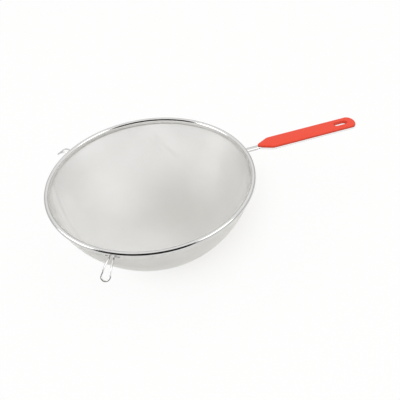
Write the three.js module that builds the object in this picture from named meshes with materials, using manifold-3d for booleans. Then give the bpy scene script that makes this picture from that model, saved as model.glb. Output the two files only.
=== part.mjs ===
// Fine wire-cloth strainer: a pressed mesh bowl hemmed over a hoop wire, a rolled rim band,
// two wire rests, and a handle of a steel tang, a pressed steel tray and a red plastic cover.
// Millimetres, +Z up. The origin is the centre of the bowl's flat foot; +X runs along the handle.
import * as THREE from "three";
import { mergeVertices } from "three/addons/utils/BufferGeometryUtils.js";
import Module from "manifold-3d";

const wasm = await Module();
wasm.setup();

// Fits
const GAP = 0.3; // between neighbouring pieces
const ROLL_GAP = 0.2; // between the layers rolled up inside the rim

// Bowl of wire cloth
const RIM_DIAMETER = 240; // over the rolled bead
const BOWL_DEPTH = 89; // from the bead's centre down to the foot
const FOOT_DIAMETER = 40; // flat that the bowl stands on
const CLOTH_THICKNESS = 0.64; // two crossing wires
const WALL_FULLNESS = 1.38; // exponent of the bowl's curve down the wall
const FLOOR_FULLNESS = 2.75; // exponent of the bowl's curve across the floor
const NECK_HEIGHT = 5.5; // upright cloth held inside the rim band
const HEM_ANGLE = 200; // degrees that the cloth is turned over the hoop wire
const GRID_COUNT = 12; // openings across the flat cloth, standing for its many fine ones
const GRID_OPEN = 0.75; // clear share of the width from one opening to the next
const GRID_TURN = 24; // degrees from the handle to the run of the wires
const GRID_LAP = 1.5; // that the open cloth runs up into the plain edge under the neck

// Rolled rim
const HOOP_WIRE_DIAMETER = 2.5;
const BAND_THICKNESS = 0.5;
const BAND_INNER_SKIRT = 3; // below the bead's centre, inside the bowl
const BAND_OUTER_SKIRT = 5.2; // below the bead's centre, outside the bowl
const PINCH_RADIUS = 1; // where the band turns from the bead down into its outer skirt

// Wire rests
const REST_WIRE_DIAMETER = 2;
const REST_ANGLE = 126.4; // degrees from the handle, to each side
const REST_FOOT_WIDTH = 16; // over the wire ends lying along the rim
const REST_FOOT_BEND = 2; // radius of the turn out from the rim
const REST_NECK_WIDTH = 5.3; // between the wires' centres
const REST_NECK_REACH = 5.8; // from the rim to the neck
const REST_EYE_WIDTH = 9.8; // between the wires' centres at the round end
const REST_LENGTH = 28.1; // along the bent loop
const REST_RISE = 9.5; // degrees up from the rim, where the loop starts
const REST_BEND_RADIUS = 28; // of the loop, bent over and down all along

// Handle
const HANDLE_SLOPE = 2.95; // degrees below level
const HANDLE_DROP = 0.5; // of the tang's top below the bead's centre
const TANG_WIDTH = 6.2;
const TANG_SHEET = 0.9;
const TANG_FLANGE = 3; // depth of the channel between the rim and the tray
const TANG_BEND = 0.9; // radius of the channel's edges, at the middle of the sheet
const TANG_REACH = 98; // from the rim into the tray
const TANG_TUCK = 1; // under the side of the bead
const TRAY_START = 14.8; // from the rim to the tray's tip
const TRAY_LENGTH = 133.4;
const TRAY_TIP_WIDTH = 8.4; // across the round tip
const TRAY_TAPER = 16; // from the tip to the shoulder
const TRAY_SHOULDER = 3; // rounding of the shoulder, to each side of it
const TRAY_FRONT_WIDTH = 21.5;
const TRAY_REAR_WIDTH = 22.1;
const TRAY_END_LENGTH = 9; // of the rounded rear end
const TRAY_DEPTH = 2.5;
const TRAY_SHEET = 0.6;
const COVER_INSET = 0.9; // steel lip left showing round the cover
const COVER_HEIGHT = 2.2; // above the tray's lip
const COVER_PLUG = 1.2; // depth that fits inside the tray
const COVER_EDGE = 1; // rounding of the cover's upper edge
const COVER_CROWN = 0.35; // rise of the top inside its rounded edge
const COVER_CROWN_INSET = 3.2;
const SLOT_LENGTH = 19;
const SLOT_WIDTH = 7.2;
const SLOT_FROM_END = 11; // from the tray's rear end to the slot
const PEG_DIAMETER = 3;
const PEG_HEAD_DIAMETER = 6;
const PEG_HEAD_HEIGHT = 0.9;
const PEG_FROM_TIP = 20; // from the tray's tip to the front peg
const PEG_FROM_TANG_END = 7.6; // from the tang's end to the rear peg

// Facets
const RING_STEPS = 52;
const BOWL_STEPS = 11;
const HEM_STEPS = 5;
const BEAD_STEPS = 9;
const PINCH_STEPS = 3;
const HOOP_SIDES = 8;
const REST_SIDES = 8;
const REST_STEPS = 38;
const ROUND_STEPS = 16;
const EDGE_STEPS = 4;

// Sizes that follow from the ones above
const hoopRadius = HOOP_WIRE_DIAMETER / 2;
const hemRadius = hoopRadius + ROLL_GAP + CLOTH_THICKNESS / 2;
const bandRadius = hemRadius + CLOTH_THICKNESS / 2 + ROLL_GAP + BAND_THICKNESS / 2;
const beadRadius = bandRadius + BAND_THICKNESS / 2;
const beadCentre = new THREE.Vector2(RIM_DIAMETER / 2 - beadRadius, BOWL_DEPTH);
const neckRadius = beadCentre.x - hemRadius;
const skirtRadius = neckRadius + CLOTH_THICKNESS / 2 + ROLL_GAP + BAND_THICKNESS / 2;
const skirtFace = skirtRadius + BAND_THICKNESS / 2;
const underBead = BOWL_DEPTH - beadRadius - GAP;
const restWireRadius = REST_WIRE_DIAMETER / 2;
const restRoot = skirtFace + GAP + restWireRadius;
const trayEnd = TRAY_START + TRAY_LENGTH;
const pegPlaces = [TRAY_START + PEG_FROM_TIP, TANG_REACH - PEG_FROM_TANG_END];

const radians = THREE.MathUtils.degToRad;

// Points of an arc in a plane, from one angle to another in radians.
function arc(centre, radius, from, to, steps) {
  return Array.from({ length: steps + 1 }, (_, i) => {
    const angle = from + ((to - from) * i) / steps;
    return new THREE.Vector2(centre.x + radius * Math.cos(angle), centre.y + radius * Math.sin(angle));
  });
}

// Moves each point of a line to its left by a distance, mitred where the line turns.
function offsetLine(points, distance, closed = false) {
  const count = points.length;
  const left = (a, b) => new THREE.Vector2(a.y - b.y, b.x - a.x).normalize();
  return points.map((point, i) => {
    const before = closed || i > 0 ? left(points[(i + count - 1) % count], point) : null;
    const after = closed || i < count - 1 ? left(point, points[(i + 1) % count]) : null;
    const mitre = new THREE.Vector2().addVectors(before ?? after, after ?? before).normalize();
    return point.clone().addScaledVector(mitre, distance / mitre.dot(before ?? after));
  });
}

// The closed outline of a strip of sheet that follows a line.
function stripOutline(line, thickness) {
  const right = offsetLine(line, -thickness / 2);
  const left = offsetLine(line, thickness / 2).reverse();
  return [...right, ...left];
}

// A three.js geometry as a manifold solid.
function solid(geometry) {
  const bare = geometry.clone();
  bare.deleteAttribute("normal");
  bare.deleteAttribute("uv");
  const merged = mergeVertices(bare, 1e-4);
  const index = merged.index.array;
  const triangles = [];
  for (let i = 0; i < index.length; i += 3) {
    const [a, b, c] = index.slice(i, i + 3);
    if (a !== b && b !== c && c !== a) triangles.push(a, b, c);
  }
  const vertProperties = merged.attributes.position.array;
  const triVerts = new Uint32Array(triangles);
  return new wasm.Manifold(new wasm.Mesh({ numProp: 3, vertProperties, triVerts }));
}

// A manifold solid as a named mesh.
function piece(name, made, material) {
  const { vertProperties, triVerts } = made.getMesh();
  const geometry = new THREE.BufferGeometry();
  geometry.setAttribute("position", new THREE.BufferAttribute(vertProperties, 3));
  geometry.setIndex(new THREE.BufferAttribute(triVerts, 1));
  geometry.computeVertexNormals();
  const mesh = new THREE.Mesh(geometry, material);
  mesh.name = name;
  return mesh;
}

// Turns a closed outline of radius and height about +Z. One that ends on the axis stays open there.
function revolve(outline) {
  const profile = outline[0].x === 0 ? outline : [...outline, outline[0]];
  return solid(new THREE.LatheGeometry(profile, RING_STEPS).rotateX(Math.PI / 2));
}

// A plan outline extruded upwards from one height to another.
function slab(outline, bottom, top) {
  const options = { depth: top - bottom, bevelEnabled: false };
  return solid(new THREE.ExtrudeGeometry(new THREE.Shape(outline), options).translate(0, 0, bottom));
}

// A solid through plan outlines of equal count, each at its own height.
function loft(levels) {
  const count = levels[0].outline.length;
  const positions = levels.flatMap(({ outline, z }) => outline.flatMap((p) => [p.x, p.y, z]));
  const index = [];
  for (let level = 0; level < levels.length - 1; level++) {
    for (let i = 0; i < count; i++) {
      const a = level * count + i;
      const b = level * count + ((i + 1) % count);
      index.push(a, b, b + count, a, b + count, a + count);
    }
  }
  const lid = (levels.length - 1) * count;
  for (const [a, b, c] of THREE.ShapeUtils.triangulateShape(levels[0].outline, [])) index.push(a, c, b);
  for (const [a, b, c] of THREE.ShapeUtils.triangulateShape(levels.at(-1).outline, [])) {
    index.push(lid + a, lid + b, lid + c);
  }
  const geometry = new THREE.BufferGeometry();
  geometry.setAttribute("position", new THREE.Float32BufferAttribute(positions, 3));
  return solid(geometry.setIndex(index));
}

// A block over a range of lengths along the handle, centred on it.
function block(from, to, width, bottom, top) {
  const shape = new THREE.BoxGeometry(to - from, width, top - bottom);
  return solid(shape.translate((from + to) / 2, 0, (bottom + top) / 2));
}

// An upright round bar on the handle's centre line.
function bar(diameter, x, bottom, top) {
  const shape = new THREE.CylinderGeometry(diameter / 2, diameter / 2, top - bottom, ROUND_STEPS);
  return solid(shape.rotateX(Math.PI / 2).translate(x, 0, (bottom + top) / 2));
}

// The bowl's curve: a superellipse from the upright neck down to the edge of the foot.
function bowlCurve() {
  const top = BOWL_DEPTH - NECK_HEIGHT;
  const footTurn = Math.acos((FOOT_DIAMETER / 2 / neckRadius) ** (FLOOR_FULLNESS / 2));
  const drop = (top - CLOTH_THICKNESS / 2) / Math.sin(footTurn) ** (2 / WALL_FULLNESS);
  return Array.from({ length: BOWL_STEPS + 1 }, (_, i) => {
    const turn = (footTurn * i) / BOWL_STEPS;
    const radius = neckRadius * Math.cos(turn) ** (2 / FLOOR_FULLNESS);
    return new THREE.Vector2(radius, top - drop * Math.sin(turn) ** (2 / WALL_FULLNESS));
  });
}

// A square sheet with a grid of openings, each of its points pressed onto a surface by a rule.
// The sheet's lines bound the bars and run down the middle of the openings.
function openSheet(reach, pressed) {
  const pitch = (2 * reach) / GRID_COUNT;
  const bar = (1 - GRID_OPEN) * pitch;
  const lines = Array.from({ length: GRID_COUNT + 1 }, (_, i) => i * pitch - reach)
    .flatMap((middle) => [middle - bar / 2, middle + bar / 2, middle + pitch / 2])
    .slice(0, -1);
  const count = lines.length;
  const crossings = lines.flatMap((x) => lines.map((y) => new THREE.Vector2(x, y)));
  const top = crossings.map((p) => pressed(p, CLOTH_THICKNESS / 2));
  const low = crossings.map((p) => pressed(p, -CLOTH_THICKNESS / 2));
  const onSheet = (i) => i >= 0 && i < count - 1;
  const filled = (i, j) => onSheet(i) && onSheet(j) && (i % 3 === 0 || j % 3 === 0);
  const index = [];
  for (let i = 0; i < count - 1; i++) {
    for (let j = 0; j < count - 1; j++) {
      if (!filled(i, j)) continue;
      const [a, b, c, d] = [i * count + j, (i + 1) * count + j, (i + 1) * count + j + 1, i * count + j + 1];
      const under = count * count;
      index.push(a, b, c, a, c, d, under + a, under + c, under + b, under + a, under + d, under + c);
      const sides = [[a, b, i, j - 1], [b, c, i + 1, j], [c, d, i, j + 1], [d, a, i - 1, j]];
      for (const [from, to, nextI, nextJ] of sides) {
        if (!filled(nextI, nextJ)) index.push(under + from, under + to, to, under + from, to, from);
      }
    }
  }
  const geometry = new THREE.BufferGeometry();
  geometry.setAttribute("position", new THREE.Float32BufferAttribute([...top, ...low].flat(), 3));
  return solid(geometry.setIndex(index));
}

// Wire cloth pressed into a bowl, with its edge turned over the hoop wire.
function meshBowl() {
  const hem = arc(beadCentre, hemRadius, Math.PI, Math.PI - radians(HEM_ANGLE), HEM_STEPS);
  const foot = new THREE.Vector2(0, CLOTH_THICKNESS / 2);
  const [neck, edge, ...rest] = bowlCurve();
  const openLine = [foot, ...rest.reverse(), edge];
  const wall = new THREE.Path([...openLine, neck, new THREE.Vector2(neckRadius, 2 * BOWL_DEPTH)]);
  const pressed = (flat, inwards) => {
    const along = flat.length() / wall.getLength();
    const run = wall.getTangent(along);
    const place = wall.getPoint(along).add(new THREE.Vector2(-run.y, run.x).multiplyScalar(inwards));
    const turn = flat.angle() + radians(GRID_TURN);
    return [place.x * Math.cos(turn), place.x * Math.sin(turn), place.y];
  };
  const open = openSheet(new THREE.Path(openLine).getLength(), pressed);
  const border = revolve(stripOutline([edge, neck, ...hem], CLOTH_THICKNESS));
  return border.add(open.trimByPlane([0, 0, -1], -edge.y - GRID_LAP));
}

// Round wire that stiffens the rim.
function hoopWire() {
  return revolve(arc(beadCentre, hoopRadius, 0, 2 * Math.PI, HOOP_SIDES).slice(1));
}

// Strip rolled over the hem: an inner skirt, the bead, and an outer skirt pinched back to the cloth.
function rimBand() {
  const inner = new THREE.Vector2(beadCentre.x - bandRadius, BOWL_DEPTH - BAND_INNER_SKIRT);
  const outer = new THREE.Vector2(skirtRadius, BOWL_DEPTH - BAND_OUTER_SKIRT);
  const pinchX = skirtRadius + PINCH_RADIUS;
  const reach = bandRadius + PINCH_RADIUS;
  const pinchTurn = Math.acos((beadCentre.x - pinchX) / reach);
  const pinch = new THREE.Vector2(pinchX, BOWL_DEPTH - reach * Math.sin(pinchTurn));
  const bead = arc(beadCentre, bandRadius, Math.PI, pinchTurn - Math.PI, BEAD_STEPS);
  const turn = arc(pinch, PINCH_RADIUS, pinchTurn, Math.PI, PINCH_STEPS);
  return revolve(stripOutline([inner, ...bead, ...turn.slice(1), outer], BAND_THICKNESS));
}

// Reach out from the rim and height, at a length along a rest's bend.
function restBend(length) {
  const rise = radians(REST_RISE);
  const fall = rise - length / REST_BEND_RADIUS;
  return {
    reach: REST_BEND_RADIUS * (Math.sin(rise) - Math.sin(fall)),
    height: REST_BEND_RADIUS * (Math.cos(fall) - Math.cos(rise)),
  };
}

// One rest: a wire from one end along the rim, out round an eye, and back to its other end.
function restLoop() {
  const neck = REST_NECK_WIDTH / 2;
  const eye = REST_EYE_WIDTH / 2;
  const footCentre = new THREE.Vector2(REST_FOOT_BEND, neck + REST_FOOT_BEND);
  const eyeCentre = new THREE.Vector2(REST_LENGTH - eye, 0);
  const neckEnd = new THREE.Vector2(REST_NECK_REACH, neck);
  const round = arc(eyeCentre, eye, radians(115), radians(15), 4);
  const side = [
    new THREE.Vector2(0, REST_FOOT_WIDTH / 2),
    ...arc(footCentre, REST_FOOT_BEND, Math.PI, 1.5 * Math.PI, 3),
    neckEnd,
    neckEnd.clone().lerp(round[0], 1 / 3),
    neckEnd.clone().lerp(round[0], 2 / 3),
    ...round,
  ];
  const far = side.map((p) => new THREE.Vector2(p.x, -p.y)).reverse();
  const path = [...side, ...far].map((p) => {
    const { reach, height } = restBend(p.x);
    const x = Math.sqrt((restRoot + reach) ** 2 - p.y ** 2);
    return new THREE.Vector3(x, p.y, underBead - restWireRadius + height);
  });
  const wire = arc(new THREE.Vector2(), restWireRadius, 0, 2 * Math.PI, REST_SIDES).slice(1);
  const extrudePath = new THREE.CatmullRomCurve3(path, false, "centripetal");
  return solid(new THREE.ExtrudeGeometry(new THREE.Shape(wire), { steps: REST_STEPS, extrudePath }));
}

// Plan outline of the tray, from its tip round its rear end.
function trayOutline() {
  const tip = TRAY_TIP_WIDTH / 2;
  const front = TRAY_FRONT_WIDTH / 2;
  const rear = TRAY_REAR_WIDTH / 2;
  const shoulder = TRAY_START + TRAY_TAPER;
  const end = trayEnd - TRAY_END_LENGTH;
  const plan = new THREE.Shape();
  const lean = Math.atan2(front - tip, TRAY_TAPER - tip);
  const inX = shoulder - TRAY_SHOULDER * Math.cos(lean);
  const inY = front - TRAY_SHOULDER * Math.sin(lean);
  plan.absarc(TRAY_START + tip, 0, tip, Math.PI / 2 + lean, 1.5 * Math.PI - lean, false);
  plan.lineTo(inX, -inY);
  plan.quadraticCurveTo(shoulder, -front, shoulder + TRAY_SHOULDER, -front);
  plan.lineTo(end, -rear);
  plan.absellipse(end, 0, TRAY_END_LENGTH, rear, -Math.PI / 2, Math.PI / 2, false);
  plan.lineTo(shoulder + TRAY_SHOULDER, front);
  plan.quadraticCurveTo(shoulder, front, inX, inY);
  const points = plan.getPoints(6);
  return points.filter((p, i) => p.distanceTo(points.at(i - 1)) > 1e-3);
}

// Plan outline of the hang slot, widened all round by a clearance.
function slotOutline(clearance) {
  const radius = SLOT_WIDTH / 2 + clearance;
  const far = new THREE.Vector2(trayEnd - SLOT_FROM_END - SLOT_WIDTH / 2, 0);
  const near = new THREE.Vector2(far.x - SLOT_LENGTH + SLOT_WIDTH, 0);
  const farEnd = arc(far, radius, -Math.PI / 2, Math.PI / 2, ROUND_STEPS / 2);
  return [...farEnd, ...arc(near, radius, Math.PI / 2, 1.5 * Math.PI, ROUND_STEPS / 2)];
}

// Sheet channel, open below, that is coped to the bead and runs on as a flat strip into the tray.
function handleTang(place) {
  const side = (TANG_WIDTH - TANG_SHEET) / 2;
  const top = -TANG_SHEET / 2 - TANG_BEND;
  const right = new THREE.Vector2(side - TANG_BEND, top);
  const left = new THREE.Vector2(TANG_BEND - side, top);
  const line = [
    new THREE.Vector2(side, -TANG_FLANGE),
    ...arc(right, TANG_BEND, 0, Math.PI / 2, EDGE_STEPS),
    ...arc(left, TANG_BEND, Math.PI / 2, Math.PI, EDGE_STEPS),
    new THREE.Vector2(-side, -TANG_FLANGE),
  ];
  const section = new THREE.Shape(stripOutline(line, TANG_SHEET));
  const along = new THREE.ExtrudeGeometry(section, { depth: TANG_TUCK + TANG_REACH, bevelEnabled: false });
  const turned = new THREE.Matrix4().makeBasis(
    new THREE.Vector3(0, 1, 0),
    new THREE.Vector3(0, 0, 1),
    new THREE.Vector3(1, 0, 0),
  );
  const channel = solid(along.applyMatrix4(turned.setPosition(-TANG_TUCK, 0, 0)));
  const round = arc(beadCentre, beadRadius + GAP, 0, 2 * Math.PI, 2 * ROUND_STEPS).slice(1);
  const bead = revolve(round).transform(place.clone().invert().toArray());
  const below = block(TRAY_START - GAP, TANG_REACH + GAP, 2 * TANG_WIDTH, -2 * TANG_FLANGE, -TANG_SHEET);
  const holes = pegPlaces.map((x) => bar(PEG_DIAMETER + 2 * GAP, x, -TANG_FLANGE, GAP));
  return wasm.Manifold.difference([channel, bead, below, ...holes]);
}

// Pressed tray with an upright wall, a mouth for the tang, peg holes and the hang slot.
function handleTray() {
  const outline = trayOutline();
  const floor = TRAY_SHEET - TRAY_DEPTH;
  const mouth = TANG_WIDTH + 2 * GAP;
  return wasm.Manifold.difference([
    slab(outline, -TRAY_DEPTH, 0),
    slab(offsetLine(outline, TRAY_SHEET, true), floor, GAP),
    block(TRAY_START - GAP, TRAY_START + TRAY_TAPER, mouth, floor, GAP),
    slab(slotOutline(GAP), -TRAY_DEPTH - GAP, 0),
    ...pegPlaces.map((x) => bar(PEG_DIAMETER + 2 * GAP, x, -TRAY_DEPTH - GAP, 0)),
  ]);
}

// Moulded cover: a crowned top, a plug inside the tray, and two pegs flattened under its floor.
function handleCover() {
  const outline = offsetLine(trayOutline(), COVER_INSET, true);
  const plug = offsetLine(trayOutline(), TRAY_SHEET + GAP, true);
  const edgeCentre = new THREE.Vector2(COVER_EDGE, COVER_HEIGHT - COVER_EDGE);
  const side = [
    new THREE.Vector2(0, GAP),
    ...arc(edgeCentre, COVER_EDGE, Math.PI, Math.PI / 2, EDGE_STEPS),
    new THREE.Vector2(COVER_CROWN_INSET, COVER_HEIGHT + COVER_CROWN),
  ];
  const top = loft(side.map((p) => ({ outline: offsetLine(outline, p.x, true), z: p.y })));
  const tangWay = block(0, TANG_REACH + GAP, TANG_WIDTH + 2 * GAP, -COVER_PLUG - GAP, GAP);
  const head = -TRAY_DEPTH - GAP;
  const pegs = pegPlaces.flatMap((x) => [
    bar(PEG_DIAMETER, x, head, 2 * GAP),
    bar(PEG_HEAD_DIAMETER, x, head - PEG_HEAD_HEIGHT, head),
  ]);
  const body = top.add(slab(plug, -COVER_PLUG, 2 * GAP).subtract(tangWay));
  const pegged = wasm.Manifold.union([body, ...pegs]);
  return pegged.subtract(slab(slotOutline(0), -TRAY_DEPTH, COVER_HEIGHT + 2 * COVER_CROWN));
}

const steel = new THREE.MeshStandardMaterial({ color: 0xc9c9c6, roughness: 0.2, metalness: 1 });
const cloth = new THREE.MeshStandardMaterial({ color: 0xb9b9b5, roughness: 0.4, metalness: 1 });
const brightWire = new THREE.MeshStandardMaterial({ color: 0xd2d2d0, roughness: 0.15, metalness: 1 });
const redPlastic = new THREE.MeshStandardMaterial({ color: 0xe8493a, roughness: 0.4, metalness: 0 });

const bowl = new THREE.Group();
bowl.add(piece("mesh_bowl", meshBowl(), cloth));
bowl.add(piece("hoop_wire", hoopWire(), brightWire));
bowl.add(piece("rim_band", rimBand(), steel));

const rests = new THREE.Group();
const loop = restLoop();
for (const [name, turn] of [["rest_front", -REST_ANGLE], ["rest_back", REST_ANGLE]]) {
  const rest = piece(name, loop, brightWire);
  rest.rotation.z = radians(turn);
  rests.add(rest);
}

const handle = new THREE.Group();
handle.position.set(RIM_DIAMETER / 2 + GAP, 0, BOWL_DEPTH - HANDLE_DROP);
handle.rotation.y = radians(HANDLE_SLOPE);
handle.updateMatrix();
handle.add(piece("handle_tang", handleTang(handle.matrix), steel));
handle.add(piece("handle_tray", handleTray(), steel));
handle.add(piece("handle_cover", handleCover(), redPlastic));

const strainer = new THREE.Group();
strainer.add(bowl, rests, handle);
export default strainer;
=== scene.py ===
# %% [markdown]
# # A fine-mesh strainer
# The strainer is a bowl of woven steel wire in a rolled steel rim. Two wire rests hook over the
# far edge of a pot, and a flat handle of pressed steel with a red plastic cover lies on the near
# edge. The CAD model gives the size and place of every piece, so it is loaded first and never
# moved. Each cell after that makes one piece or one finish in the same frame. The strainer's sizes
# are written in millimetres, as in a workshop, and become metres where a mesh is made.

import math

import bpy
import numpy as np
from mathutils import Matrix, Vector


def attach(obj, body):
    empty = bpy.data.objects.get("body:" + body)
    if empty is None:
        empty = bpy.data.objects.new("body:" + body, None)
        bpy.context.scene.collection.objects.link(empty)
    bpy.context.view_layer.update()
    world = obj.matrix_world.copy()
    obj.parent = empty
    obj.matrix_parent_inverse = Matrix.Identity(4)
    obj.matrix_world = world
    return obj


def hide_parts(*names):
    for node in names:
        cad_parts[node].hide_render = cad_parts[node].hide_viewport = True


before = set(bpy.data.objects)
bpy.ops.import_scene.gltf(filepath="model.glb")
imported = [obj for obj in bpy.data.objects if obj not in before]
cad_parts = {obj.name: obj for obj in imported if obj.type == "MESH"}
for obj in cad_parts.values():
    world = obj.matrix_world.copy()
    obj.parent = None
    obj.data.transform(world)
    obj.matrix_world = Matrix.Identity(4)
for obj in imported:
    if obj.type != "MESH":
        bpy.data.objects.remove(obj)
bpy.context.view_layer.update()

# %% [markdown]
# ## Drawing lines
# Most pieces begin as a line: the section of the rim, the path of a wire, the outline of the
# handle. A line could be typed in as a list of vertices, but by hand one would add a small plane,
# merge it to a single vertex and extrude that vertex from point to point. The helper does just
# that, with its points in millimetres.

# %% Draw a line by extruding one vertex
MM = 0.001
MERGE_DISTANCE = MM / 100
POINTS, EDGES, FACES = (True, False, False), (False, True, False), (False, False, True)


def draw_line(name, points, closed=False):
    bpy.ops.object.select_all(action="DESELECT")
    bpy.ops.mesh.primitive_plane_add(size=MM)
    line = bpy.context.object
    line.name = line.data.name = name
    bpy.ops.object.mode_set(mode="EDIT")
    bpy.context.tool_settings.mesh_select_mode = POINTS
    bpy.ops.mesh.select_all(action="SELECT")
    bpy.ops.mesh.merge(type="CENTER")
    stops = [Vector(point) * MM for point in points]
    if closed:
        stops.append(stops[0])
    bpy.ops.transform.translate(value=stops[0])
    for before, after in zip(stops, stops[1:]):
        bpy.ops.mesh.extrude_region_move(TRANSFORM_OT_translate={"value": after - before})
    bpy.ops.mesh.select_all(action="SELECT")
    bpy.ops.mesh.remove_doubles(threshold=MERGE_DISTANCE)
    bpy.ops.object.mode_set(mode="OBJECT")
    print(name, "drawn through", len(line.data.vertices), "points")
    return line


def arc(centre, radius, start, end, steps):
    turns = np.linspace(math.radians(start), math.radians(end), steps + 1)
    return [(centre[0] + radius * math.cos(t), centre[1] + radius * math.sin(t)) for t in turns]


# %% [markdown]
# ## Selecting by place
# Operators work on whatever is selected. With no mouse, faces and edges are picked by a test on
# where they are or which way they face. A pick leaves the piece in edit mode, ready for the next
# operator, and `end_edit` turns all faces outwards and goes back to object mode.

# %% Pick faces or edges by a test
NEAR = 0.1
FACING_UP = 0.99


def clear_pick(kind):
    bpy.ops.object.mode_set(mode="EDIT")
    bpy.context.tool_settings.mesh_select_mode = kind
    bpy.ops.mesh.select_all(action="DESELECT")
    bpy.ops.object.mode_set(mode="OBJECT")


def pick_faces(piece, test):
    clear_pick(FACES)
    for face in piece.data.polygons:
        face.select = bool(test(face.center / MM, face.normal))
    bpy.ops.object.mode_set(mode="EDIT")


def pick_edges(piece, test):
    clear_pick(EDGES)
    corners = piece.data.vertices
    for edge in piece.data.edges:
        a, b = (corners[i].co / MM for i in edge.vertices)
        edge.select = bool(test(a, b))
    bpy.ops.object.mode_set(mode="EDIT")


def end_edit():
    bpy.ops.mesh.select_all(action="SELECT")
    bpy.ops.mesh.normals_make_consistent(inside=False)
    bpy.ops.object.mode_set(mode="OBJECT")


# %% [markdown]
# ## Shaping a whole piece
# A few steps come back for many pieces: an extrusion of what is picked, a modifier that is applied
# at once, smooth shading that stops at sharp edges, and transforms that go into the mesh, so that
# every finished object sits at the origin.

# %% Extrude, apply modifiers, settle and smooth
def extrude(*offset):
    value = [length * MM for length in offset]
    bpy.ops.mesh.extrude_region_move(TRANSFORM_OT_translate={"value": value})


def apply_modifier(piece, kind, **settings):
    modifier = piece.modifiers.new(kind.lower(), kind)
    for name, value in settings.items():
        setattr(modifier, name, value)
    bpy.context.view_layer.objects.active = piece
    bpy.ops.object.modifier_apply(modifier=modifier.name)


def select_only(piece):
    bpy.ops.object.select_all(action="DESELECT")
    piece.select_set(True)
    bpy.context.view_layer.objects.active = piece


def settle(piece):
    select_only(piece)
    bpy.ops.object.transform_apply(location=True, rotation=True, scale=True)


def smooth(piece, angle):
    select_only(piece)
    bpy.ops.object.shade_smooth_by_angle(angle=math.radians(angle))


# %% [markdown]
# ## Shader sums
# Finishes are written as Python sums. A `Signal` stands for one output socket: `1 - signal` or
# `signal * 0.2` adds a Math node and gives its output, and `add` makes any other node.

# %% A socket that takes part in sums
class Signal:
    def __init__(self, tree, socket=None):
        self.tree = tree
        self.socket = socket

    def add(self, kind, settings=None, sockets=None, output=0):
        node = self.tree.nodes.new(kind)
        for name, value in (settings or {}).items():
            setattr(node, name, value)
        for name, value in (sockets or {}).items():
            if isinstance(value, Signal):
                self.tree.links.new(value.socket, node.inputs[name])
            else:
                node.inputs[name].default_value = value
        return Signal(self.tree, node.outputs[output] if node.outputs else None)

    def sum(self, operation, first, second):
        return self.add("ShaderNodeMath", {"operation": operation}, {0: first, 1: second})

    def __add__(self, other):
        return self.sum("ADD", self, other)

    def __sub__(self, other):
        return self.sum("SUBTRACT", self, other)

    def __rsub__(self, other):
        return self.sum("SUBTRACT", other, self)

    def __mul__(self, other):
        return self.sum("MULTIPLY", self, other)

    __radd__ = __add__
    __rmul__ = __mul__


# %% [markdown]
# ## Parts of a finish
# Every finish is built from the same few nodes. Noise on Object coordinates gives spots, a Mix
# node blends two colours by them, a Bump node makes a skin of them, and a Map Range node fades a
# value from one end of a span to the other.

# %% Start a finish, add to it and end it
BUMP_DEPTH = 0.2 * MM


def start_finish(name):
    finish = bpy.data.materials.new(name)
    finish.use_nodes = True
    finish.node_tree.nodes.clear()
    return finish, Signal(finish.node_tree)


def spots(start, scale, stretch=(1, 1, 1), detail=2):
    place = start.add("ShaderNodeTexCoord", output="Object")
    place = start.add("ShaderNodeMapping", None, {"Vector": place, "Scale": stretch})
    sockets = {"Vector": place, "Scale": scale, "Detail": detail}
    return start.add("ShaderNodeTexNoise", None, sockets)


def blend_colours(start, share, first, second):
    settings = {"data_type": "RGBA", "blend_type": "MIX"}
    sockets = {0: share, 6: (*first, 1), 7: (*second, 1)}
    return start.add("ShaderNodeMix", settings, sockets, output=2)


def skin(start, height, strength):
    sockets = {"Strength": strength, "Distance": BUMP_DEPTH, "Height": height}
    return start.add("ShaderNodeBump", None, sockets)


def fade(start, value, span, ends=(0, 1), shape="LINEAR"):
    sockets = {"Value": value}
    sockets |= {"From Min": span[0], "From Max": span[1], "To Min": ends[0], "To Max": ends[1]}
    return start.add("ShaderNodeMapRange", {"interpolation_type": shape}, sockets)


def end_finish(start, sockets):
    shader = start.add("ShaderNodeBsdfPrincipled", None, sockets)
    start.add("ShaderNodeOutputMaterial", None, {"Surface": shader})


# %% [markdown]
# ## Steel finishes
# Four steels show on the strainer. The rim and the tang are polished sheet with faint cloudy
# smears, and the rim's inner side is painted brighter, a painted highlight. The handle's tray has
# a mirror shine and a painted shade, a thin dark grey line along its lower bend. Both are painted
# into the colour: the inner side is found by its distance from the bowl's axis, and the tray's
# lower bend by the way that it faces. The rests and the hoop are drawn wire, with fine lines along
# it. The cloth's wire is duller and slightly rough. Each is a metal whose colour and roughness
# drift with noise.

# %% Polished sheet
SHEET_GREY = (0.6, 0.595, 0.585)
SHEET_BRIGHT = (0.9, 0.895, 0.885)
RIM_INNER_SIDE = (114.6 * MM, 115.6 * MM)

polished_steel, start = start_finish("polished_steel")
smears = spots(start, 45, detail=4)
grain = spots(start, 900, stretch=(1, 1, 0.15))
place = start.add("ShaderNodeTexCoord", output="Object")
level = start.add("ShaderNodeVectorMath", {"operation": "MULTIPLY"}, {0: place, 1: (1, 1, 0)})
apart = start.add("ShaderNodeVectorMath", {"operation": "LENGTH"}, {0: level}, output="Value")
# Painted highlight: the rim's inner side, found by its distance from the bowl's axis, is painted
# brighter.
painted_inner_highlight = 1 - fade(start, apart, RIM_INNER_SIDE)
share = smears * 0.33 + painted_inner_highlight * 0.8
sockets = {
    "Base Color": blend_colours(start, share, SHEET_GREY, SHEET_BRIGHT),
    "Metallic": 1.0,
    "Roughness": smears * 0.1 + grain * 0.05 + 0.06,
    "Normal": skin(start, grain, 0.05),
}
end_finish(start, sockets)
print("finish", polished_steel.name)

# %% Mirror-bright sheet
BEND_PAINTED_SHADE = (0.12, 0.118, 0.114)
MIRROR_BRIGHT = (0.93, 0.925, 0.915)
BEND_FACING = -0.6
BEND_SPAN = (0.1, 0.38)

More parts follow.
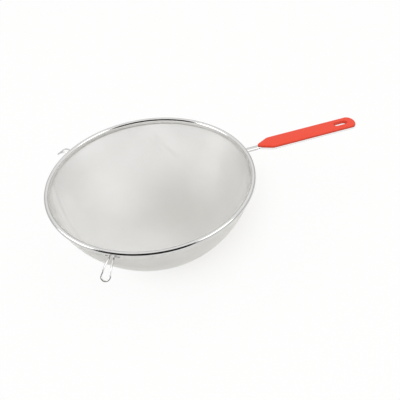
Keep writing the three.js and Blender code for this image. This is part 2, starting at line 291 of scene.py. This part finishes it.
bright_steel, start = start_finish("bright_steel")
smears = spots(start, 60, detail=3)
# Painted shade: where the tray's sheet faces down, along its lower bend, it is painted dark grey.
facing = start.add("ShaderNodeTexCoord", output="Normal")
upward = start.add("ShaderNodeSeparateXYZ", None, {0: facing}, output="Z")
from_bend = start.sum("ABSOLUTE", upward - BEND_FACING, 0)
share = fade(start, from_bend, BEND_SPAN) * (smears * 0.11 + 0.89)
sockets = {
    "Base Color": blend_colours(start, share, BEND_PAINTED_SHADE, MIRROR_BRIGHT),
    "Metallic": 1.0,
    "Roughness": smears * 0.08 + 0.04,
}
end_finish(start, sockets)
print("finish", bright_steel.name)

# %% Drawn wire
DRAWN_GREY = (0.66, 0.655, 0.645)
DRAWN_BRIGHT = (0.78, 0.775, 0.765)

drawn_wire, start = start_finish("drawn_wire")
lines = spots(start, 1400, stretch=(1, 1, 0.3))
smears = spots(start, 90)
sockets = {
    "Base Color": blend_colours(start, smears, DRAWN_GREY, DRAWN_BRIGHT),
    "Metallic": 1.0,
    "Roughness": lines * 0.06 + smears * 0.06 + 0.03,
    "Normal": skin(start, lines, 0.06),
}
end_finish(start, sockets)
print("finish", drawn_wire.name)

# %% Cloth wire
CLOTH_GREY = (0.802, 0.795, 0.767)
CLOTH_BRIGHT = (0.906, 0.899, 0.871)

cloth_wire, start = start_finish("cloth_wire")
patches = spots(start, 30, detail=3)
fine = spots(start, 700)
sockets = {
    "Base Color": blend_colours(start, patches, CLOTH_GREY, CLOTH_BRIGHT),
    "Metallic": 1.0,
    "Roughness": patches * 0.1 + fine * 0.1 + 0.26,
}
end_finish(start, sockets)
print("finish", cloth_wire.name)

# %% [markdown]
# ## Red plastic
# The cover is moulded in a warm red. Its skin has the fine spark texture of a mould, too small to
# see as dots but enough to soften the highlights, and handling has polished it in patches.

# %% Moulded red plastic
RED_DEEP = (0.715, 0.037, 0.005)
RED_WARM = (0.775, 0.046, 0.011)

red_plastic, start = start_finish("red_plastic")
patches = spots(start, 55, detail=3)
sparks = spots(start, 2600)
sockets = {
    "Base Color": blend_colours(start, patches, RED_DEEP, RED_WARM),
    "Roughness": patches * 0.12 + sparks * 0.06 + 0.3,
    "Normal": skin(start, sparks, 0.12),
}
end_finish(start, sockets)
print("finish", red_plastic.name)

# %% [markdown]
# ## Handing pieces over
# Each new piece takes the place of a CAD node, which is hidden. The piece takes its finish and is
# hung under the empty of the body that it rides on. Nothing on a strainer moves, so every piece
# rides on the root.

# %% Hand a finished piece over to the frame
def hand_over(piece, finish, node):
    piece.data.materials.clear()
    piece.data.materials.append(finish)
    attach(piece, "root")
    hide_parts(node)
    piece.data.calc_loop_triangles()
    print(piece.name, "stands for", node, "with", len(piece.data.loop_triangles), "triangles")


# %% [markdown]
# ## The bowl's shape
# The bowl is a disc of flat cloth pressed into a round form, so every point of the flat disc ends
# up at a known distance along the bowl's curve. The curve runs out from the centre of the flat
# foot, up the rounded wall and into the upright neck inside the rim. It is measured here as a
# table of radius, height and outward direction against that distance. The neck's radius follows
# from what is rolled up in the rim: hoop wire, cloth and steel band, with a thin gap between them.

# %% Measure the bowl's curve
ROLL_GAP = 0.2
RIM_DIAMETER = 240
BOWL_DEPTH = 89
FOOT_DIAMETER = 40
CLOTH_THICKNESS = 0.64
WALL_FULLNESS = 1.38
FLOOR_FULLNESS = 2.75
NECK_HEIGHT = 5.5
CLOTH_STOP = 2
HOOP_WIRE = 2.5
BAND_THICKNESS = 0.5
FLOOR_STEPS = 49
WALL_STEPS = 600

hem_radius = HOOP_WIRE / 2 + ROLL_GAP + CLOTH_THICKNESS / 2
band_radius = hem_radius + CLOTH_THICKNESS / 2 + ROLL_GAP + BAND_THICKNESS / 2
bead_radius = band_radius + BAND_THICKNESS / 2
neck_radius = RIM_DIAMETER / 2 - bead_radius - hem_radius
neck_foot = BOWL_DEPTH - NECK_HEIGHT
foot_turn = math.acos((FOOT_DIAMETER / 2 / neck_radius) ** (FLOOR_FULLNESS / 2))
drop = (neck_foot - CLOTH_THICKNESS / 2) / math.sin(foot_turn) ** (2 / WALL_FULLNESS)
turns = np.linspace(foot_turn, 0, WALL_STEPS)
wall_radius = neck_radius * np.cos(turns) ** (2 / FLOOR_FULLNESS)
wall_height = neck_foot - drop * np.sin(turns) ** (2 / WALL_FULLNESS)
floor_radius = np.linspace(0, FOOT_DIAMETER / 2, FLOOR_STEPS, endpoint=False)
floor_height = np.full(FLOOR_STEPS, CLOTH_THICKNESS / 2)
curve_radius = np.r_[floor_radius, wall_radius, neck_radius]
curve_height = np.r_[floor_height, wall_height, BOWL_DEPTH - CLOTH_STOP]
along = np.r_[0, np.cumsum(np.hypot(np.diff(curve_radius), np.diff(curve_height)))]
slope_radius, slope_height = np.gradient(curve_radius, along), np.gradient(curve_height, along)
print("cloth measures", round(2 * along[-1], 1), "mm across before pressing")

# %% [markdown]
# ## Woven cloth
# Real strainer cloth is plain weave: each wire goes over one wire and under the next. A picture of
# a weave on a smooth bowl looks flat from close by, so the wires are made. A grid with one vertex
# at each crossing is laid over the bowl, and each vertex is lifted or sunk by half a wire, in
# turn. Without its faces and its cross edges the grid is a set of wavy lines, which turn into a
# curve with a round bevel. One grid gives the wires of one direction, and the second direction is
# lifted where the first is sunk. Each direction is made in two halves, to keep a piece small.

# %% Lay a grid of crossings over the bowl
PITCH = 1.28
WIRE = 0.32
CLOTH_TURN = math.radians(24)
count = 2 * int(along[-1] / PITCH)


def lay_wires(name, direction, half):
    bpy.ops.object.select_all(action="DESELECT")
    bpy.ops.mesh.primitive_grid_add(
        x_subdivisions=count - 1, y_subdivisions=count - 1, size=(count - 1) * PITCH * MM
    )
    cloth = bpy.context.object
    cloth.name = cloth.data.name = name
    flat = np.empty(3 * len(cloth.data.vertices))
    cloth.data.vertices.foreach_get("co", flat)
    flat = flat.reshape(-1, 3)[:, :2] / MM
    cell = np.rint(flat / PITCH + (count - 1) / 2).astype(int)
    reach = np.hypot(*flat.T)
    lift = np.where((cell.sum(axis=1) + direction) % 2, WIRE / 2, -WIRE / 2)
    radius = np.interp(reach, along, curve_radius) + lift * np.interp(reach, along, slope_height)
    height = np.interp(reach, along, curve_height) - lift * np.interp(reach, along, slope_radius)
    turn = np.arctan2(flat[:, 1], flat[:, 0]) + CLOTH_TURN
    pressed = np.c_[radius * np.cos(turn), radius * np.sin(turn), height] * MM
    cloth.data.vertices.foreach_set("co", pressed.ravel())
    ends = np.empty(2 * len(cloth.data.edges), int)
    cloth.data.edges.foreach_get("vertices", ends)
    ends = ends.reshape(-1, 2)
    side = cell[:, 1 - direction] * 2 >= count
    gone = (reach > along[-1]) | (side != bool(half))
    cross = cell[ends[:, 0], direction] == cell[ends[:, 1], direction]
    return cloth, gone, cross


print("cloth has", count, "wires each way")


# %% Turn a grid into wires
def weave(name, direction, half):
    cloth, gone, cross = lay_wires(name, direction, half)
    bpy.ops.object.mode_set(mode="EDIT")
    bpy.ops.mesh.delete(type="ONLY_FACE")
    clear_pick(EDGES)
    cloth.data.edges.foreach_set("select", cross)
    bpy.ops.object.mode_set(mode="EDIT")
    bpy.ops.mesh.delete(type="EDGE")
    clear_pick(POINTS)
    cloth.data.vertices.foreach_set("select", gone)
    bpy.ops.object.mode_set(mode="EDIT")
    bpy.ops.mesh.delete(type="VERT")
    bpy.ops.object.mode_set(mode="OBJECT")
    bpy.ops.object.convert(target="CURVE")
    cloth.data.bevel_depth = WIRE / 2 * MM
    cloth.data.bevel_resolution = 0
    bpy.ops.object.convert(target="MESH")
    bpy.ops.object.shade_smooth()
    return cloth


for name, direction, half in (
    ("cloth_warp_a", 0, 0),
    ("cloth_warp_b", 0, 1),
    ("cloth_weft_a", 1, 0),
    ("cloth_weft_b", 1, 1),
):
    hand_over(weave(name, direction, half), cloth_wire, "mesh_bowl")

# %% [markdown]
# ## Rolled rim
# The rim is a strip of polished steel rolled over the cloth's hem and the hoop wire: a skirt
# inside the bowl, a round bead, and a skirt outside that is pinched back to the cloth. It is the
# same all the way round, so its section is drawn once and spun about the bowl's axis, and a
# Solidify modifier gives the strip its thickness.

# %% Draw and spin the rim's section
INNER_SKIRT = 3
OUTER_SKIRT = 5.2
PINCH_RADIUS = 1
RIM_STEPS = 240
bead_centre = (RIM_DIAMETER / 2 - bead_radius, BOWL_DEPTH)
outer_x = neck_radius + CLOTH_THICKNESS / 2 + ROLL_GAP + BAND_THICKNESS / 2
pinch_centre = (outer_x + PINCH_RADIUS, BOWL_DEPTH - band_radius - PINCH_RADIUS)

section = [(bead_centre[0] - band_radius, BOWL_DEPTH - INNER_SKIRT)]
section += arc(bead_centre, band_radius, 180, -90, steps=30)
section += arc(pinch_centre, PINCH_RADIUS, 90, 180, steps=6)[1:]
section += [(outer_x, BOWL_DEPTH - OUTER_SKIRT)]
rim = draw_line("rolled_rim", [(x, 0, z) for x, z in section])
bpy.ops.object.mode_set(mode="EDIT")
bpy.ops.mesh.select_all(action="SELECT")
bpy.ops.mesh.spin(steps=RIM_STEPS, angle=math.tau, center=(0, 0, 0), axis=(0, 0, 1))
bpy.ops.mesh.select_all(action="SELECT")
bpy.ops.mesh.remove_doubles(threshold=MERGE_DISTANCE)
end_edit()
apply_modifier(rim, "SOLIDIFY", thickness=BAND_THICKNESS * MM, offset=0, use_even_offset=True)
smooth(rim, angle=40)
hand_over(rim, polished_steel, "rim_band")

# %% [markdown]
# ## Wire rests
# A rest is one bent wire. Its two ends lie along the rim under the bead, where they are welded,
# and between them the wire runs out, widens from a neck to a round eye, and is bent over and down
# all along so that it hooks over a pot. A mesh line through a few points becomes a curve with
# automatic handles, which bends smoothly, and the curve's bevel gives it its round section. One
# rest is bent and copied, and the two are swung to their places round the rim.

# %% The path of a rest
GAP = 0.3
REST_WIRE = 2
REST_ANGLE = 126.4
REST_FOOT = 16
REST_FOOT_BEND = 2
REST_NECK = 5.3
REST_NECK_REACH = 5.8
REST_EYE = 9.8
REST_LENGTH = 28.1
REST_RISE = math.radians(9.5)
REST_BEND_RADIUS = 28
rest_root = outer_x + BAND_THICKNESS / 2 + GAP + REST_WIRE / 2
rest_height = BOWL_DEPTH - bead_radius - GAP - REST_WIRE / 2


def rest_point(length, across):
    fall = REST_RISE - length / REST_BEND_RADIUS
    radius = rest_root + REST_BEND_RADIUS * (math.sin(REST_RISE) - math.sin(fall))
    height = rest_height + REST_BEND_RADIUS * (math.cos(fall) - math.cos(REST_RISE))
    return (math.sqrt(radius**2 - across**2), across, height)


foot_centre = (REST_FOOT_BEND, REST_NECK / 2 + REST_FOOT_BEND)
neck_end = (REST_NECK_REACH, REST_NECK / 2)
eye_round = arc((REST_LENGTH - REST_EYE / 2, 0), REST_EYE / 2, 115, 15, steps=4)
rest_side = [(0, REST_FOOT / 2)]
rest_side += arc(foot_centre, REST_FOOT_BEND, 180, 270, steps=3)
rest_side += [tuple(a + (b - a) * i / 3 for a, b in zip(neck_end, eye_round[0])) for i in range(3)]
rest_side += eye_round
rest_path = rest_side + [(length, -across) for length, across in reversed(rest_side)]
print("a rest has", len(rest_path), "points")

# %% Bend one rest, copy it and swing both to their places
rest_front = draw_line("rest_wire_front", [rest_point(*point) for point in rest_path])
bpy.ops.object.convert(target="CURVE")
bpy.ops.object.mode_set(mode="EDIT")
bpy.ops.curve.select_all(action="SELECT")
bpy.ops.curve.spline_type_set(type="BEZIER")
bpy.ops.curve.handle_type_set(type="AUTOMATIC")
bpy.ops.object.mode_set(mode="OBJECT")
rest_front.data.resolution_u = 10
rest_front.data.bevel_depth = REST_WIRE / 2 * MM
rest_front.data.bevel_resolution = 5
rest_front.data.use_fill_caps = True
bpy.ops.object.convert(target="MESH")
bpy.ops.object.duplicate()
rest_back = bpy.context.object
rest_back.name = rest_back.data.name = "rest_wire_back"
for rest, angle, node in (
    (rest_front, -REST_ANGLE, "rest_front"),
    (rest_back, REST_ANGLE, "rest_back"),
):
    rest.rotation_euler.z = math.radians(angle)
    settle(rest)
    smooth(rest, angle=50)
    hand_over(rest, drawn_wire, node)

# %% [markdown]
# ## The handle's outline
# The steel tray and the red cover share one outline: a round tip at the tang, a straight taper to
# a rounded shoulder, long sides that widen a little, and a rounded rear end. Both are built lying
# level along X and are then tilted down with the handle's slope.

# %% Outline of the handle
TRAY_START = 14.8
TRAY_LENGTH = 133.4
TRAY_TIP = 8.4
TRAY_TAPER = 16
TRAY_SHOULDER = 3
TRAY_FRONT = 21.5
TRAY_REAR = 22.1
TRAY_END = 9

tip, front = TRAY_TIP / 2, TRAY_FRONT / 2
lean = math.atan2(front - tip, TRAY_TAPER - tip)
shoulder = TRAY_START + TRAY_TAPER
corner = (
    (shoulder - TRAY_SHOULDER * math.cos(lean), front - TRAY_SHOULDER * math.sin(lean)),
    (shoulder, front),
    (shoulder + TRAY_SHOULDER, front),
)


def round_corner(share):
    weights = ((1 - share) ** 2, 2 * share * (1 - share), share**2)
    return tuple(sum(w * point[i] for w, point in zip(weights, corner)) for i in (0, 1))


taper_side = arc((TRAY_START + tip, 0), tip, 180, 90 + math.degrees(lean), steps=8)
taper_side += [round_corner(i / 6) for i in range(7)]
end_x = TRAY_START + TRAY_LENGTH - TRAY_END
half_circle = arc((0, 0), 1, -90, 90, steps=28)
end_round = [(end_x + TRAY_END * x, TRAY_REAR / 2 * y) for x, y in half_circle]
handle_outline = [(x, -y) for x, y in taper_side] + end_round + taper_side[:0:-1]
print("handle outline has", len(handle_outline), "points")

# %% [markdown]
# ## Slabs and cutters
# A closed outline is filled, inset where the piece is narrower, and raised to a slab. The hang
# slot, the way for the tang and the holes for the pegs are cut by simple solids with Boolean
# modifiers. Each cutter takes its size from the piece that passes through, and a clearance.

# %% Raise a slab from an outline
def raise_slab(name, outline, bottom, top, inset=0):
    slab = draw_line(name, [(x, y, bottom) for x, y in outline], closed=True)
    bpy.ops.object.mode_set(mode="EDIT")
    bpy.context.tool_settings.mesh_select_mode = FACES
    bpy.ops.mesh.select_all(action="SELECT")
    bpy.ops.mesh.edge_face_add()
    if inset:
        bpy.ops.mesh.inset(thickness=inset * MM, depth=0)
        bpy.ops.mesh.select_all(action="INVERT")
        bpy.ops.mesh.delete(type="FACE")
        bpy.ops.mesh.select_all(action="SELECT")
    extrude(0, 0, top - bottom)
    end_edit()
    return slab


# %% Cut the slot, the tang's way and the peg holes
SLOT_LENGTH = 19
SLOT_WIDTH = 7.2
SLOT_FROM_END = 11
TANG_REACH = 98
PEG = 3
PEG_SIDES = 32
PEG_FROM_TIP = 20
PEG_FROM_TANG_END = 7.6
PEG_PLACES = (TRAY_START + PEG_FROM_TIP, TANG_REACH - PEG_FROM_TANG_END)
CUT_BOTTOM, CUT_TOP = -4, 6


def cut_away(piece, cutter):
    apply_modifier(piece, "BOOLEAN", operation="DIFFERENCE", object=cutter, solver="EXACT")
    bpy.data.objects.remove(cutter)


def cut_slot(piece, clearance):
    half = SLOT_WIDTH / 2
    rear_x = TRAY_START + TRAY_LENGTH - SLOT_FROM_END - half
    front_x = rear_x - SLOT_LENGTH + SLOT_WIDTH
    ring = arc((rear_x, 0), half + clearance, -90, 90, steps=16)
    ring += arc((front_x, 0), half + clearance, 90, 270, steps=16)
    cut_away(piece, raise_slab("slot_cutter", ring, CUT_BOTTOM, CUT_TOP))


def cut_box(piece, along_x, width, along_z):
    bpy.ops.object.select_all(action="DESELECT")
    centre = (sum(along_x) / 2 * MM, 0, sum(along_z) / 2 * MM)
    bpy.ops.mesh.primitive_cube_add(size=MM, location=centre)
    box = bpy.context.object
    box.scale = (along_x[1] - along_x[0], width, along_z[1] - along_z[0])
    cut_away(piece, box)


def cut_peg_holes(piece):
    for x in PEG_PLACES:
        bpy.ops.object.select_all(action="DESELECT")
        bpy.ops.mesh.primitive_cylinder_add(
            vertices=PEG_SIDES,
            radius=(PEG / 2 + GAP) * MM,
            depth=-2 * CUT_BOTTOM * MM,
            location=(x * MM, 0, 0),
        )
        cut_away(piece, bpy.context.object)


print("pegs stand", PEG_PLACES, "mm from the rim")

# %% Tilt a piece to the handle's slope
HANDLE_SLOPE = math.radians(2.95)
HANDLE_DROP = 0.5
handle_place = Vector((RIM_DIAMETER / 2 + GAP, 0, BOWL_DEPTH - HANDLE_DROP)) * MM


def tilt(piece):
    piece.rotation_euler.y = HANDLE_SLOPE
    piece.location = handle_place
    settle(piece)


print("handle starts at", [round(length, 4) for length in handle_place])

# %% [markdown]
# ## Pressed steel tray
# The underside of the handle is a shallow tray pressed from thin sheet, so its floor turns up
# into its wall with a small radius and its lip shows as a bright line round the red cover. A slab
# of the outline loses its top, its lower edge is bevelled round, and Solidify makes it a sheet.
# Then the hang slot, the mouth for the tang and the holes for the pegs are cut.

# %% Press the tray
TRAY_DEPTH = 2.5
TRAY_SHEET = 0.6
TRAY_BEND = 0.9
TANG_WIDTH = 6.2
MOUTH_REACH = 4.5
MOUTH_TOP = 2.4

tray = raise_slab("steel_tray", handle_outline, -TRAY_DEPTH, 0)
pick_faces(tray, lambda place, normal: normal.z > FACING_UP)
bpy.ops.mesh.delete(type="FACE")
pick_edges(tray, lambda a, b: max(a.z, b.z) < NEAR - TRAY_DEPTH)
bpy.ops.mesh.bevel(offset=TRAY_BEND * MM, segments=4, affect="EDGES")
bpy.ops.object.mode_set(mode="OBJECT")
apply_modifier(tray, "SOLIDIFY", thickness=TRAY_SHEET * MM, offset=-1, use_even_offset=True)
cut_slot(tray, GAP)
mouth = (TRAY_START - MOUTH_REACH, TRAY_START + MOUTH_REACH)
cut_box(tray, mouth, TANG_WIDTH + 2 * GAP, (TRAY_SHEET - TRAY_DEPTH, MOUTH_TOP))
cut_peg_holes(tray)
tilt(tray)
smooth(tray, angle=35)
hand_over(tray, bright_steel, "handle_tray")

# %% [markdown]
# ## Red cover
# The cover drops into the tray and stands a little proud of its lip. Its top edge is rounded and
# its top is slightly crowned, so that it catches a soft highlight along its length. Two moulded
# pegs pass through the tang and the tray's floor and are flattened underneath like rivets. One
# peg is shaped from a cylinder as wide as its head, and copied to the other place.

# %% Mould the cover
COVER_INSET = 0.9
COVER_PLUG = 1.2
COVER_HEIGHT = 2.2
COVER_EDGE = 1
COVER_CROWN = 0.35
COVER_CROWN_INSET = 3.2

cover = raise_slab("red_cover", handle_outline, -COVER_PLUG, COVER_HEIGHT, inset=COVER_INSET)
pick_edges(cover, lambda a, b: min(a.z, b.z) > COVER_HEIGHT - NEAR)
bpy.ops.mesh.bevel(offset=COVER_EDGE * MM, segments=5, affect="EDGES")
pick_faces(cover, lambda place, normal: normal.z > FACING_UP and place.z > COVER_HEIGHT - NEAR)
bpy.ops.mesh.inset(thickness=(COVER_CROWN_INSET - COVER_EDGE) * MM, depth=COVER_CROWN * MM)
bpy.ops.object.mode_set(mode="OBJECT")
cut_slot(cover, 0)
cut_box(cover, (0, TANG_REACH + GAP), TANG_WIDTH + 2 * GAP, (-COVER_PLUG - GAP, GAP))
print("cover cut to", len(cover.data.polygons), "faces")

# %% Flatten the pegs under the tray
PEG_HEAD = 6
PEG_HEAD_HEIGHT = 0.9
PEG_HEAD_EDGE = 0.5
head_top = -TRAY_DEPTH - GAP
head_bottom = head_top - PEG_HEAD_HEIGHT
peg_top = 2 * GAP

bpy.ops.object.select_all(action="DESELECT")
bpy.ops.mesh.primitive_cylinder_add(
    vertices=PEG_SIDES,
    radius=PEG_HEAD / 2 * MM,
    depth=PEG_HEAD_HEIGHT * MM,
    location=(PEG_PLACES[0] * MM, 0, (head_top + head_bottom) / 2 * MM),
)
pegs = bpy.context.object
settle(pegs)
pick_faces(pegs, lambda place, normal: normal.z > FACING_UP)
bpy.ops.mesh.inset(thickness=(PEG_HEAD - PEG) / 2 * MM)
extrude(0, 0, peg_top - head_top)
pick_edges(pegs, lambda a, b: max(a.z, b.z) < head_bottom + NEAR)
bpy.ops.mesh.bevel(offset=PEG_HEAD_EDGE * MM, segments=3, affect="EDGES")
bpy.ops.mesh.select_all(action="SELECT")
stride = ((PEG_PLACES[1] - PEG_PLACES[0]) * MM, 0, 0)
bpy.ops.mesh.duplicate_move(TRANSFORM_OT_translate={"value": stride})
bpy.ops.object.mode_set(mode="OBJECT")
cover.select_set(True)
bpy.context.view_layer.objects.active = cover
bpy.ops.object.join()
tilt(cover)
smooth(cover, angle=30)
hand_over(cover, red_plastic, "handle_cover")

# %% [markdown]
# ## Steel tang
# The tang joins the handle to the rim. Outside the tray it is a small channel, a strip with both
# sides folded down, and its end is coped: cut to the round of the bead, so that it can be welded
# there. Inside the tray it runs on as a flat strip under the cover. The channel's section is drawn
# and extruded along X, Solidify makes it a sheet, and a torus of the bead's size copes it.

# %% Fold the tang and cope its end
TANG_SHEET = 0.9
TANG_FLANGE = 3
TANG_BEND = 0.9
TANG_TUCK = 1
FLANGE_GAP = 0.7
COPE_GAP = 0.1
tang_side = (TANG_WIDTH - TANG_SHEET) / 2
bend_top = -TANG_SHEET / 2 - TANG_BEND

fold = [(tang_side, -TANG_FLANGE)]
fold += arc((tang_side - TANG_BEND, bend_top), TANG_BEND, 0, 90, steps=6)
fold += arc((TANG_BEND - tang_side, bend_top), TANG_BEND, 90, 180, steps=6)
fold += [(-tang_side, -TANG_FLANGE)]
tang = draw_line("steel_tang", [(-TANG_TUCK, y, z) for y, z in fold])
bpy.ops.object.mode_set(mode="EDIT")
bpy.ops.mesh.select_all(action="SELECT")
extrude(TANG_TUCK + TANG_REACH, 0, 0)
end_edit()
apply_modifier(tang, "SOLIDIFY", thickness=TANG_SHEET * MM, offset=0, use_even_offset=True)
in_tray = (TRAY_START - FLANGE_GAP, TANG_REACH + GAP)
cut_box(tang, in_tray, 2 * TANG_WIDTH, (-TANG_SHEET - 2 * TANG_FLANGE, -TANG_SHEET))
cut_peg_holes(tang)
tilt(tang)
bpy.ops.object.select_all(action="DESELECT")
bpy.ops.mesh.primitive_torus_add(
    major_radius=bead_centre[0] * MM,
    minor_radius=(bead_radius + COPE_GAP) * MM,
    major_segments=RIM_STEPS,
    minor_segments=32,
    location=(0, 0, BOWL_DEPTH * MM),
)
cut_away(tang, bpy.context.object)
smooth(tang, angle=35)
hand_over(tang, polished_steel, "handle_tang")

# %% [markdown]
# ## The hoop wire
# The hoop lies sealed inside the bead, so the CAD node stays and only takes the wire's finish.

# %% Finish the hoop
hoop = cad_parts["hoop_wire"]
hoop.data.materials.clear()
hoop.data.materials.append(drawn_wire)
print("hoop_wire keeps its CAD mesh")

# %% [markdown]
# ## Camera
# The camera's place, angle and lens were fitted to the rim's ellipse, the handle and the rests.
# The picture is square, so the lens follows from the focal length in pixels over the picture's
# width.

# %% Place the camera
PICTURE_PIXELS = 400
FOCAL_PIXELS = 578.37
SENSOR_WIDTH = 36
CAMERA_PLACE = (-0.1014, -0.50333, 0.50371)
CAMERA_TURNS = (48.11, 4.449, -21.425)

scene = bpy.context.scene
camera = bpy.data.objects.new("camera", bpy.data.cameras.new("camera"))
scene.collection.objects.link(camera)
camera.data.lens = FOCAL_PIXELS / PICTURE_PIXELS * SENSOR_WIDTH
camera.data.sensor_width = SENSOR_WIDTH
camera.data.clip_start = 0.01
camera.location = CAMERA_PLACE
camera.rotation_euler = [math.radians(turn) for turn in CAMERA_TURNS]
scene.camera = camera
print("lens", round(camera.data.lens, 2), "mm")

# %% [markdown]
# ## White floor
# The strainer stands on white. The floor is pale paint to the light that falls on the strainer,
# and mostly a white glow to the camera and to reflections. Under the bowl the darker paint shows
# through as painted shade, partly painted and partly the real cast shadow on the paint: deepest in
# an oval beside the foot, and fainter in a wide round that is seen through the cloth. The two fade
# out smoothly in the glow's share. From here on, what stands round the strainer is measured in
# metres.

# %% Tell rays apart and mix what they see
def seen_directly(start):
    names = ("Is Camera Ray", "Is Glossy Ray", "Is Transmission Ray")
    camera, glossy, through = (start.add("ShaderNodeLightPath", output=name) for name in names)
    return start.sum("MAXIMUM", start.sum("MAXIMUM", camera, glossy), through)


def mix_shaders(start, share, first, second):
    return start.add("ShaderNodeMixShader", None, {0: share, 1: first, 2: second})


# %% Lay the white floor
FLOOR_SIZE = 3
FLOOR_PAINT = (0.8, 0.785, 0.76, 1)
WHITE = (1, 1, 1, 1)
OVAL_CENTRE = (0.057, 0.036, 0)
OVAL_TURN = (0, 0, math.radians(60))
OVAL_REACH = (0.165, 0.12, 1)
OVAL_SPAN = (0.1, 1)
OVAL_GLOW = (0, 0.9)
ROUND_CENTRE = (0.022, 0.108, 0)
ROUND_SPAN = (0.09, 0.15)
ROUND_GLOW = (0.55, 1)

bpy.ops.object.select_all(action="DESELECT")
bpy.ops.mesh.primitive_plane_add(size=FLOOR_SIZE)
floor = bpy.context.object
floor.name = "floor"
floor_white, start = start_finish("floor_white")
paint = start.add("ShaderNodeBsdfDiffuse", None, {"Color": FLOOR_PAINT})
glow = start.add("ShaderNodeEmission", None, {"Color": WHITE, "Strength": 1.0})
# Painted shade under the bowl: an oval beside the foot and a wide round let the darker paint show,
# with the real cast shadow on it.
place = start.add("ShaderNodeTexCoord", output="Object")
oval = {"Vector": place, "Location": OVAL_CENTRE, "Rotation": OVAL_TURN, "Scale": OVAL_REACH}
oval = start.add("ShaderNodeMapping", {"vector_type": "TEXTURE"}, oval)
apart = start.add("ShaderNodeVectorMath", {"operation": "LENGTH"}, {0: oval}, output="Value")
painted_shade_oval = fade(start, apart, OVAL_SPAN, OVAL_GLOW, "SMOOTHSTEP")
ends = {0: place, 1: ROUND_CENTRE}
apart = start.add("ShaderNodeVectorMath", {"operation": "DISTANCE"}, ends, output="Value")
painted_shade_round = fade(start, apart, ROUND_SPAN, ROUND_GLOW, "SMOOTHSTEP")
share = seen_directly(start) * painted_shade_oval * painted_shade_round
surface = mix_shaders(start, share, paint, glow)
start.add("ShaderNodeOutputMaterial", None, {"Surface": surface})
floor.data.materials.append(floor_white)
print("floor", FLOOR_SIZE, "m wide")

# %% [markdown]
# ## White world
# Around the strainer is a dome of soft white light, dimmer near the horizon and brighter overhead,
# as under a large soft light in a studio. That gives the steel its gentle greys. The camera itself
# sees plain white.

# %% Light the dome
DOME_DIM = 0.45
DOME_BRIGHT = 1.1
DOME_SPAN = (-0.05, 0.7)


def backdrop(start, strength):
    return start.add("ShaderNodeBackground", None, {"Color": WHITE, "Strength": strength})


world = bpy.data.worlds.new("studio")
scene.world = world
world.use_nodes = True
world.node_tree.nodes.clear()
start = Signal(world.node_tree)
way = start.add("ShaderNodeTexCoord", output="Generated")
height = start.add("ShaderNodeSeparateXYZ", None, {0: way}, output="Z")
share = fade(start, height, DOME_SPAN, shape="SMOOTHSTEP")
dome = mix_shaders(start, share, backdrop(start, DOME_DIM), backdrop(start, DOME_BRIGHT))
by_camera = start.add("ShaderNodeLightPath", output="Is Camera Ray")
sky = mix_shaders(start, by_camera, dome, backdrop(start, 1.0))
start.add("ShaderNodeOutputWorld", None, {"Surface": sky})
print("dome from", DOME_DIM, "to", DOME_BRIGHT)

# %% [markdown]
# ## Panels and a dark card
# Two soft panels, left and right, shape the metal. Polished wire also mirrors the dark side of a
# studio, where the camera stands, so a black card stands there that only reflections can see.

# %% Stand up the panels
PANEL_SIZE = 0.9
PANEL_TARGET = Vector((0.05, 0, 0.05))

for name, place, power in (
    ("panel_left", Vector((-1.3, 0.25, 0.9)), 5),
    ("panel_right", Vector((0.95, -0.75, 1.2)), 4),
):
    lamp = bpy.data.lights.new(name, "AREA")
    lamp.size = PANEL_SIZE
    lamp.energy = power
    panel = bpy.data.objects.new(name, lamp)
    panel.location = place
    panel.rotation_euler = (PANEL_TARGET - place).to_track_quat("-Z", "Y").to_euler()
    scene.collection.objects.link(panel)
    print(name, "of", power, "W")

# %% Stand up the dark card
CARD_SIZE = (2.6, 3, 1)
CARD_PLACE = (-0.6, -1.1, 0.6)
CARD_BLACK = (0.01, 0.01, 0.01, 1)

bpy.ops.object.select_all(action="DESELECT")
bpy.ops.mesh.primitive_plane_add(size=1)
card = bpy.context.object
card.name = "dark_card"
card.scale = CARD_SIZE
card.location = CARD_PLACE
card.rotation_euler = (-card.location).to_track_quat("-Z", "Y").to_euler()
settle(card)
card_black, start = start_finish("card_black")
dark = start.add("ShaderNodeBsdfDiffuse", None, {"Color": CARD_BLACK})
start.add("ShaderNodeOutputMaterial", None, {"Surface": dark})
card.data.materials.append(card_black)
card.visible_camera = False
card.visible_diffuse = False
card.visible_shadow = False
print("dark card", CARD_SIZE[0], "by", CARD_SIZE[1], "m")

# %% [markdown]
# ## Close
# The Standard view transform shows colours as they are written.

# %% View settings
scene.view_settings.view_transform = "Standard"
bpy.context.view_layer.update()
